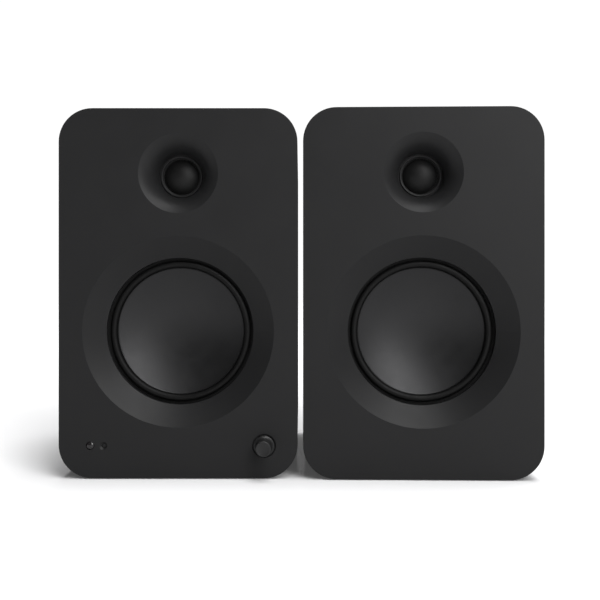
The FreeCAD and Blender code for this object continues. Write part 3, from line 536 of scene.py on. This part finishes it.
def wound_voice_coil(side):
    """Former with its wire wound turn by turn."""
    node = f"{side}_voice_coil"
    box = local_box(side, node)
    wire, wall, pitch = 0.45 * MM, 0.3 * MM, 0.32 * MM
    core = box.radius - wire
    ends, wound = (box.front + 0.05 * MM, box.back), (box.back - 11.5 * MM, box.back - 1.5 * MM)
    profile = winding_profile(core - wall, core, box.radius, ends, wound, pitch)
    coil = turned(f"{side}_wound_coil", profile, on_axis(side, box.x, box.z), f"{side}_woofer", "copper_coil",
                  HIDDEN_SEGMENTS)
    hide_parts(node)


def tweeter_roll(side):
    """Fine soft roll round the dome."""
    node = f"{side}_tweeter_surround"
    box, dome = local_box(side, node), local_box(side, f"{side}_tweeter_dome")
    thick, sag = 0.3 * MM, 0.65 * MM
    inner, outer, back = dome.radius + 0.06 * MM, box.radius - 1.0 * MM, box.front + thick
    middle = (inner + outer) / 2
    front_line = arc((inner, box.front), (middle, box.front + sag), (outer, box.front), 16)
    back_line = arc((outer, back), (middle, back + sag), (inner, back), 12)
    profile = [(inner, box.front), *front_line, (box.radius, box.front), (box.radius, back), (outer, back),
               *back_line]
    roll = turned(f"{side}_dome_roll", profile, on_axis(side, box.x, box.z), None, "dome_cloth")
    radial_blend(roll)
    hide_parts(node)


# ---- Wadding ------------------------------------------------------------------------------------
def wadding_sheet(name, side, low, high, wall, seed):
    """Loose sheet glued to a wall: flat on the wall's side, and crowned, lumpy and stapled on the other.

    wall is the axis through its thickness, and the sign of the side on which the wall is.
    """
    axis, sign = wall
    across, along = [k for k in range(3) if k != axis]
    cell, edge_radius = 4 * MM, 9 * MM
    edge, crown, pull, lump = 0.18, 0.68, 0.6, 0.13        # shares of the thickness; pull is at a staple
    wide, long = high[across] - low[across], high[along] - low[along]
    columns, rows = (max(2, round(length / cell)) for length in (wide, long))
    thickness = high[axis] - low[axis]
    face = high[axis] if sign > 0 else low[axis]
    staples = [(u, v) for u in (0.15, 0.5, 0.85) for v in (0.12, 0.37, 0.63, 0.88)]

    def height(u, v):
        border = min(u * wide, (1 - u) * wide, v * long, (1 - v) * long)
        rounding = math.sqrt(1 - (1 - min(1, border / edge_radius)) ** 2)
        lumps = noise.fractal(Vector((u * 7, v * 9, seed)), 0.8, 2.1, 4)
        tuft = max(math.exp(-(((u - a) * 9) ** 2 + ((v - b) * 12) ** 2) * 2.5) for a, b in staples)
        return thickness * (edge + crown * rounding * (1 - pull * tuft) + lump * rounding * lumps)

    def point(u, v, rise):
        place = [0.0, 0.0, 0.0]
        place[across] = low[across] + u * wide
        place[along] = low[along] + v * long
        place[axis] = face - sign * rise
        return place

    grid = [(i / columns, j / rows) for j in range(rows + 1) for i in range(columns + 1)]
    inner = [point(u, v, height(u, v)) for u, v in grid]
    outer = [point(u, v, 0.0) for u, v in grid]
    row, total = columns + 1, len(inner)
    faces = []
    for j in range(rows):
        for i in range(columns):
            corner = [j * row + i, j * row + i + 1, (j + 1) * row + i + 1, (j + 1) * row + i]
            faces += [tuple(corner), tuple(k + total for k in reversed(corner))]
    border = list(range(row)) + [j * row + row - 1 for j in range(1, rows + 1)]
    border += [rows * row + i for i in range(row - 2, -1, -1)] + [j * row for j in range(rows - 1, 0, -1)]
    for here, there in zip(border, border[1:] + border[:1]):
        faces.append((there, here, here + total, there + total))
    sheet = piece(name, inner + outer, faces, FRAMES[side], f"{side}_speaker", "wadding", smooth=60)
    return sheet


def wadding(side):
    """The two side sheets and the top one."""
    node = f"{side}_damping_pads"
    points = local_points(side, node)
    reach = LocalBox(points).high.x - 10 * MM
    sheets = (("left", points[points[:, 0] < -reach], (0, -1)),
              ("right", points[points[:, 0] > reach], (0, 1)),
              ("top", points[abs(points[:, 0]) < reach], (2, 1)))
    for number, (where, corners, wall) in enumerate(sheets):
        box = LocalBox(corners)
        sheet = wadding_sheet(f"{side}_wadding_{where}", side, box.low, box.high, wall, seed=number * 3.7)
        if where == "top":
            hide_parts(node)


# ---- Rear panel ---------------------------------------------------------------------------------
INK_SINK = 0.05 * MM     # how far a printed mark reaches into its surface

# Outlines of the phono sockets' coloured parts: radius, and height above the part's root (mm).
INSULATOR = ((1.67, 0.0), (1.67, 0.3), (1.9, 0.5), (3.3, 0.5), (3.46, 0.35), (3.46, 0.0))
COLLAR = ((4.17, 0.0), (4.17, 1.6), (5.0, 1.6), (5.35, 1.25), (5.35, 0.0))

# Place from the optical socket, floor, tongue, and depths of root and tip from the plate's face (mm).
SOCKET_CORES = {"hdmi": (-28, (13.6, 4.3), (11.3, 1.3), (-11.0, -1.2)),
                "usb": (26, (8.0, 2.3), (6.9, 1.0), (-9.0, -0.6))}


def socket_collars():
    """Coloured insulators in the phono sockets' mouths, and collars round their roots."""
    collar_root = local_box("left", "amplifier_plate").back + 1.0 * MM
    colours = {"phono_input_left": "white", "phono_input_right": "red", "phono_subwoofer": "violet"}
    for mount, colour in colours.items():
        mouth = bore_mouth(mount, "left")
        for part, outline, root in (("insulator", INSULATOR, mouth.y + 0.01 * MM),
                                    ("collar", COLLAR, collar_root)):
            turned(f"{mount}_{part}", [(radius * MM, root + height * MM) for radius, height in outline],
                   on_axis("left", mouth.x, mouth.z), "left_speaker", f"socket_{colour}",
                   segments=64)


def socket_cores():
    """Black tongue and floor inside the HDMI and USB-C shells."""
    plate, optical = local_box("left", "amplifier_plate"), local_box("left", "optical_socket")
    floor_thick, floor_bevel, tongue_bevel = 0.4 * MM, 0.1 * MM, 0.15 * MM
    for name, (offset, floor, tongue, (root, tip)) in SOCKET_CORES.items():
        boxes = (soft_box(floor[0] * MM, floor_thick, floor[1] * MM, floor_bevel),
                 soft_box(tongue[0] * MM, (tip - root) * MM, tongue[1] * MM, tongue_bevel))
        vertices, faces = joined([(box, Matrix.Identity(4)) for box in boxes])
        place = on_axis("left", optical.x + offset * MM, optical.z, plate.back + root * MM)
        piece(f"{name}_core", vertices, faces, place, "left_speaker", "black_plastic")


def printed_border(name, middle, width, height, depth):
    """A thin printed line round a group of sockets on the powered cabinet."""
    line, ink, corner = 0.35 * MM, 0.03 * MM, 2.5 * MM
    outer = rounded_outline(width / 2, height / 2, corner)
    inner = rounded_outline(width / 2 - line, height / 2 - line, corner - line)
    vertices, faces = ring_solid(outer, inner, depth - INK_SINK, depth + ink)
    piece(name, vertices, faces, on_axis("left", *middle), "left_speaker", "printed_ink")


def amplifier_print():
    """Borders round the groups of sockets on the powered cabinet's plate."""
    depth = local_box("left", "amplifier_plate").back
    inputs = [bore_mouth(f"phono_input_{which}", "left") for which in SIDES]
    subwoofer, jack = bore_mouth("phono_subwoofer", "left"), bore_mouth("aux_jack", "left")
    data = local_box("left", "optical_socket")
    inlet, switch = local_box("left", "mains_inlet"), local_box("left", "power_switch")
    groups = (("inputs", ((inputs[0].x + inputs[1].x) / 2, inputs[0].z), 36, 16),
              ("subwoofer", (subwoofer.x, subwoofer.z), 16, 16), ("jack", (jack.x, jack.z), 16, 16),
              ("data", (data.x, data.z), 76, 15),
              ("mains", ((inlet.low.x + switch.high.x) / 2, inlet.z), 80, 27))
    for name, middle, width, height in groups:
        printed_border(f"print_{name}", middle, width * MM, height * MM, depth)


def polarity_marks(side):
    """A plus by the red lever's wire hole and a minus by the black one's."""
    depth = local_box(side, f"{side}_clip_block").back
    minus, plus = bore_mouth(f"{side}_black_wire", side), bore_mouth(f"{side}_red_wire", side)
    long, thin, step, tall, bevel = 2.2 * MM, 0.5 * MM, 5.0 * MM, 0.08 * MM, 0.03 * MM
    arm, out = (long - thin) / 2, (long + thin) / 4
    bars = [(minus.x - step, minus.z, long, thin), (plus.x + step, plus.z, long, thin),
            (plus.x + step, plus.z + out, thin, arm), (plus.x + step, plus.z - out, thin, arm)]
    vertices, faces = joined([(soft_box(width, tall, height, bevel),
                               Matrix.Translation((x, depth - INK_SINK, z))) for x, z, width, height in bars])
    piece(f"{side}_polarity_marks", vertices, faces, FRAMES[side], f"{side}_speaker", "printed_ink")


def rocker_marks():
    """A stroke on one half of the rocker and a ring on the other."""
    pivot = FRAMES["left"].inverted() @ Vector(joint_facts("power_rock")["pos_m"])
    tilt, half, dip, face, out = math.radians(-8.0), 7.3 * MM, 0.7 * MM, 4.6 * MM, 4.2 * MM
    level = on_axis("left", pivot.x, pivot.z, pivot.y) @ Matrix.Rotation(tilt, 4, "Z")
    depth, slope = face - dip + out * dip / half, math.atan2(dip, half)

    def on_half(sign):
        return level @ Matrix.Translation((sign * out, depth, 0)) @ Matrix.Rotation(sign * slope, 4, "Z")

    bore, rim, ink = 0.9 * MM, 1.3 * MM, 0.04 * MM
    stroke_width, stroke_length, bevel = 0.45 * MM, 2.8 * MM, 0.03 * MM
    vertices, faces = soft_box(stroke_width, ink + INK_SINK, stroke_length, bevel)
    piece("rocker_stroke", vertices, faces, on_half(1) @ Matrix.Translation((0, -INK_SINK, 0)), "rocker",
          "printed_ink")
    turned("rocker_ring", [(bore, -INK_SINK), (bore, ink), (rim, ink), (rim, -INK_SINK)], on_half(-1),
           "rocker", "printed_ink", segments=48)


def lever_grips(side, colour):
    """Three small ribs for the finger on the sloping face of a spring clip's lever."""
    box = local_box(side, f"{side}_{colour}_lever")
    rise, drop, land = 2.2 * MM, 4.0 * MM, 1.4 * MM
    long, thick, bevel, sink = 9.0 * MM, 0.5 * MM, 0.12 * MM, 0.1 * MM
    tilt = Matrix.Rotation(-math.atan2(rise, drop), 4, "X")
    ribs = [(soft_box(long, thick, thick, bevel),
             Matrix.Translation((box.x, box.back - share * rise, box.high.z - land - share * drop)) @ tilt
             @ Matrix.Translation((0, -sink, 0)))
            for share in (0.25, 0.5, 0.75)]
    vertices, faces = joined(ribs)
    piece(f"{side}_{colour}_lever_grip", vertices, faces, FRAMES[side], f"{side}_{colour}_clip",
          f"lever_{colour}")


# ---- Electronics --------------------------------------------------------------------------------
BOARD_DROP = 20.4 * MM + 1.6 * MM      # from the tips behind the amplifier board to its front face

CHIP_SIZES = ((2.0, 1.25, 0.6), (1.6, 0.8, 0.5), (3.2, 1.6, 0.7), (1.0, 0.5, 0.4))      # in mm

# Middle and half size of each larger part on the amplifier board, from the board's middle line (mm).
LARGE_PARTS = ((-49, 64, 5, 5), (-49, 148, 5, 5), (49, 64, 5, 5), (49, 148, 5, 5), (0, 112, 24, 25),
               (-34, 136, 8, 8), (34, 136, 8, 8), (0, 81, 52, 19))


def amplifier_parts():
    """Rows of chip resistors and capacitors on the amplifier board, clear of its larger parts."""
    box, points = local_box("left", "amplifier_board"), local_points("left", "amplifier_board")
    face = box.back - BOARD_DROP
    board = LocalBox(points[(abs(points[:, 1] - face) < 0.1 * MM)])
    taken = [(box.x + x * MM, z * MM, width * MM, height * MM) for x, z, width, height in LARGE_PARTS]
    chance = random.Random(11)
    turn = Matrix.Rotation(math.pi, 4, "Z")
    column_step, row_step, side_margin, end_margin, missing = 5.5 * MM, 4.5 * MM, 4 * MM, 3 * MM, 0.35
    columns = int((board.high.x - board.low.x - 2 * side_margin) / column_step)
    rows = int((board.high.z - board.low.z - 2 * end_margin) / row_step)
    solids = []
    for row in range(rows):
        for column in range(columns):
            x = board.low.x + side_margin + column_step * (column + 0.5)
            z = board.low.z + end_margin + row_step * (row + 0.5)
            width, height, tall = chance.choice(CHIP_SIZES)
            if chance.random() < missing or any(abs(x - a) < b and abs(z - c) < d for a, c, b, d in taken):
                continue
            spin = Matrix.Rotation(math.pi / 2 * chance.randrange(2), 4, "Y")
            solids.append((soft_box(width * MM, tall * MM, height * MM, 0.08 * MM),
                           Matrix.Translation((x, face, z)) @ turn @ spin))
    vertices, faces = joined(solids)
    piece("amplifier_chip_parts", vertices, faces, FRAMES["left"], "left_speaker", "chip_parts")


def output_coils():
    """Toroids on the amplifier board: enamelled wire laid round each core."""
    box = local_box("left", "amplifier_board")
    turns, per_turn, gauge, core_half = 20, 12, 0.8 * MM, 4.5 * MM
    middle_radius, reach, half = 5.5 * MM, 2.5 * MM + gauge * 0.55, core_half + gauge * 0.55
    points = []
    for k in range(turns * per_turn):
        around, about = 2 * math.pi * k / (turns * per_turn), 2 * math.pi * k / per_turn
        c, s = math.cos(about), math.sin(about)
        square = (abs(c) ** 5 + abs(s) ** 5) ** -0.2
        radius = middle_radius + reach * square * c
        points.append((radius * math.cos(around), half * square * s, radius * math.sin(around)))
    for number, x in enumerate((-40.0, -20.0, 20.0, 40.0)):
        place = on_axis("left", box.x + x * MM, 72 * MM, box.back - BOARD_DROP - core_half)
        wire_loop(f"output_coil_wire_{number + 1}", points, gauge, place, "left_speaker", "copper_coil")


def crossover_coil():
    """The passive cabinet's air-cored coil, wound turn by turn."""
    box, points = local_box("right", "crossover_board"), local_points("right", "crossover_board")
    coil_side = LocalBox(points[points[:, 0] < box.x - 2.5 * MM])
    root = box.front + 8.0 * MM
    ends = (root + 1 * MM, root + 13 * MM)
    profile = winding_profile(12.9 * MM, 13.05 * MM, 13.7 * MM, ends, ends, 0.9 * MM)
    turned("crossover_coil_wire", profile, on_axis("right", box.x - 16 * MM, coil_side.z), "right_speaker",
           "copper_coil", HIDDEN_SEGMENTS)


for cabinet in SIDES:
    woofer_cone_shell(cabinet)
    woofer_roll(cabinet)
    woofer_spider_cloth(cabinet)
    wound_voice_coil(cabinet)
    tweeter_roll(cabinet)
    wadding(cabinet)
    polarity_marks(cabinet)
    for lever_colour in ("black", "red"):
        lever_grips(cabinet, lever_colour)
socket_collars()
socket_cores()
amplifier_print()
rocker_marks()
amplifier_parts()
output_coils()
crossover_coil()


# ---- Stage --------------------------------------------------------------------------------------
LAMP_AIM = Vector((0.0, 0.0, 0.12))
SUN_DISTANCE = 2.0


def link_lamp(name, light, direction, distance):
    """A lamp that shines on the aim from that direction."""
    lamp = bpy.data.objects.new(name, light)
    bpy.context.scene.collection.objects.link(lamp)
    outward = Vector(direction).normalized()
    lamp.location = LAMP_AIM + outward * distance
    lamp.rotation_mode = "QUATERNION"
    lamp.rotation_quaternion = outward.to_track_quat("Z", "Y")


def softbox(name, direction, distance, width, height, power):
    """A rectangular soft light, in metres and watts."""
    light = bpy.data.lights.new(name, "AREA")
    light.shape, light.size, light.size_y, light.energy = "RECTANGLE", width, height, power
    link_lamp(name, light, direction, distance)


def overhead(name, direction, strength, spread):
    """Even light from far above, as soft as its spread in degrees."""
    light = bpy.data.lights.new(name, "SUN")
    light.energy, light.angle = strength, math.radians(spread)
    link_lamp(name, light, direction, SUN_DISTANCE)


def from_side(azimuth, elevation):
    """The direction at that many degrees to the right of straight ahead, and above the horizon."""
    a, e = math.radians(azimuth), math.radians(elevation)
    return (math.sin(a) * math.cos(e), -math.cos(a) * math.cos(e), math.sin(e))


def surroundings(seen_strength, strength):
    """A white background, which lights the object less than the camera sees."""
    world = bpy.data.worlds.new("studio")
    bpy.context.scene.world = world
    world.use_nodes = True
    tree = world.node_tree
    background, seen = tree.nodes["Background"], tree.nodes.new("ShaderNodeBackground")
    for shader, level in ((background, strength), (seen, seen_strength)):
        shader.inputs["Color"].default_value = (1, 1, 1, 1)
        shader.inputs["Strength"].default_value = level
    path, mix = tree.nodes.new("ShaderNodeLightPath"), tree.nodes.new("ShaderNodeMixShader")
    tree.links.new(path.outputs["Is Camera Ray"], mix.inputs["Fac"])
    tree.links.new(background.outputs["Background"], mix.inputs[1])
    tree.links.new(seen.outputs["Background"], mix.inputs[2])
    tree.links.new(mix.outputs["Shader"], tree.nodes["World Output"].inputs["Surface"])


def studio():
    """White surroundings, a soft light from above, a key light on the right in front, and a pale floor that glows
    as painted light, more strongly away from the middle.
    """
    scene = bpy.context.scene
    scene.view_settings.view_transform = "Standard"
    scene.view_settings.look = "None"
    surroundings(seen_strength=1.05, strength=0.06)
    overhead("overhead", (0.12, 0.12, 1.0), strength=3.4, spread=30.0)
    softbox("key", from_side(azimuth=30, elevation=41), distance=3.2, width=1.45, height=4.2, power=176.0)

    size = 40.0
    mesh = bpy.data.meshes.new("floor")
    corners = [(-size, -size, 0), (size, -size, 0), (size, size, 0), (-size, size, 0)]
    mesh.from_pydata(corners, [], [(0, 1, 2, 3)])
    floor = bpy.data.objects.new("floor", mesh)
    scene.collection.objects.link(floor)
    paper = Shader("floor_paper", (0.62, 0.62, 0.625), 0.75, Specular_IOR_Level=0.1,
                   Emission_Color=(1, 1, 1, 1))
    paper.vary_colour(paper.noise(0.4, 3), 0.006)
    # Painted light: the floor glows by its distance from the middle. The glow is 0.06 within 0.4 m, which lightens
    # the shade round the cabinets, and rises to 0.45 at 1.6 m and beyond, so that the far floor shows white.
    from_middle = paper.node("ShaderNodeVectorMath", operation="LENGTH")
    paper.link(paper.place, from_middle.inputs[0])
    glow = paper.spread(from_middle.outputs["Value"], 0.06, 0.45, near=0.4, far=1.6)
    paper.link(glow, paper.bsdf.inputs["Emission Strength"])
    floor.data.materials.append(paper.material)


def photograph_camera():
    """Straight ahead at about half the cabinets' height, just right of the left cabinet."""
    low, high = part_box("left_front_baffle")
    aside, distance, height = 1.83 * MM, 608 * MM, 130.75 * MM
    data = bpy.data.cameras.new("camera")
    data.lens, data.sensor_width = 50.0, 36.0
    camera = bpy.data.objects.new("camera", data)
    camera.location = (high.x + aside, low.y - distance, height)
    camera.rotation_euler = (math.pi / 2, 0, 0)
    bpy.context.scene.collection.objects.link(camera)
    bpy.context.scene.camera = camera


studio()
photograph_camera()
